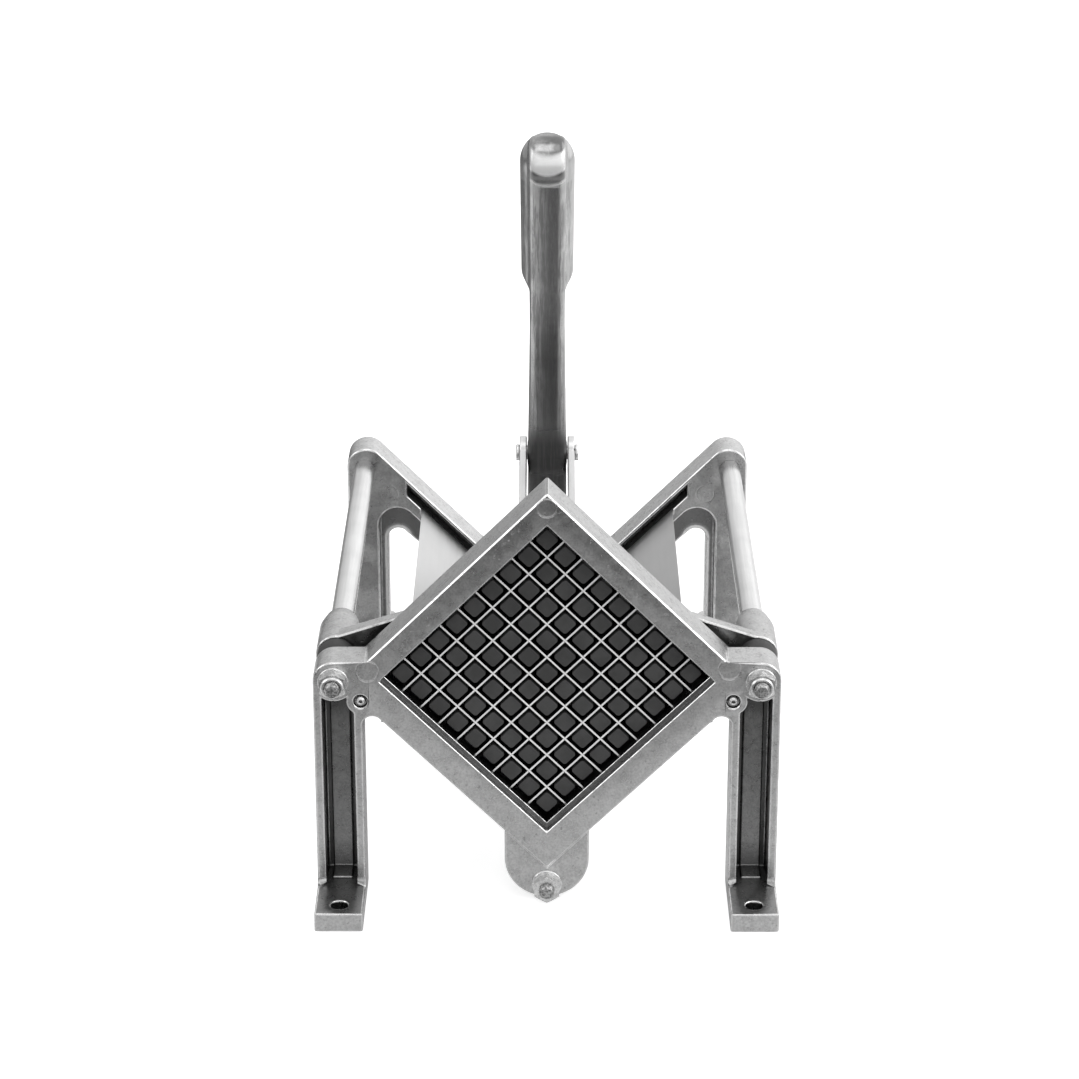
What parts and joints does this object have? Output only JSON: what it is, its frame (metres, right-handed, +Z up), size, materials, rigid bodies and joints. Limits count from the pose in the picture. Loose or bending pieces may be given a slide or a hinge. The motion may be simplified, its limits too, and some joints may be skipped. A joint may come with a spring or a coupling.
{
  "type": "french fry cutter",
  "caption": "Countertop lever french fry cutter: cast frame, rods, diagonal blade grid, V trough and a lever driven pusher.",
  "frame": {"origin": "on the counter plane, midway between the foot bolt holes", "axes": "+X to the right seen from the blade side, +Y from the blade grid to the lever pivot, +Z up"},
  "size_m": [0.1828, 0.301, 0.3014],
  "materials": {
    "cast_aluminium": "matt sand cast, light tumbled texture",
    "lever_aluminium": "polished casting",
    "rod_steel": "ground and polished",
    "sheet_steel": "fine brushed sheet",
    "blade_steel": "ground blade strip",
    "fastener_steel": "bright plated",
    "pusher_polymer": "black moulded",
    "bumper_rubber": "matt black",
    "bushing_bronze": "plain bearing"
  },
  "bodies": {
    "frame": {"front_casting": "cast_aluminium", "rear_casting": "cast_aluminium", "guide_rod_left": "rod_steel", "guide_rod_right": "rod_steel", "lower_tie_rod": "rod_steel", "trough": "sheet_steel", "blade_frame": "cast_aluminium", "blades_falling": "blade_steel", "blades_rising": "blade_steel", "blade_frame_screws": "fastener_steel", "side_rod_nuts": "fastener_steel", "tie_rod_nuts": "fastener_steel", "rod_washers": "fastener_steel", "front_bumpers": "bumper_rubber", "pivot_bolt": "fastener_steel", "pivot_nut": "fastener_steel"},
    "lever": {"lever": "lever_aluminium"},
    "links": {"link_left": "sheet_steel", "link_right": "sheet_steel", "link_pins": "fastener_steel"},
    "carriage": {"carriage": "cast_aluminium", "guide_bushings": "bushing_bronze", "pusher_block": "pusher_polymer", "pusher_screws": "fastener_steel"}
  },
  "joints": [
    {"name": "lever_swing", "type": "hinge", "parent": "frame", "child": "lever", "pos_m": [0, 0.1145, 0.052], "axis": [-1, 0, 0], "range_deg": [0, 47]},
    {"name": "link_swing", "type": "hinge", "parent": "lever", "child": "links", "pos_m": [0, 0.0255, 0.135], "axis": [1, 0, 0], "range_deg": [0, 77.9]},
    {"name": "carriage_slide", "type": "slide", "parent": "frame", "child": "carriage", "axis": [0, 1, 0], "range_m": [0, 0.1207]}
  ],
  "couplings": [
    {"joint": "link_swing", "follows": "lever_swing", "ratio": 1.6558},
    {"joint": "carriage_slide", "follows": "lever_swing", "m_per_rad": 0.14704}
  ]
}
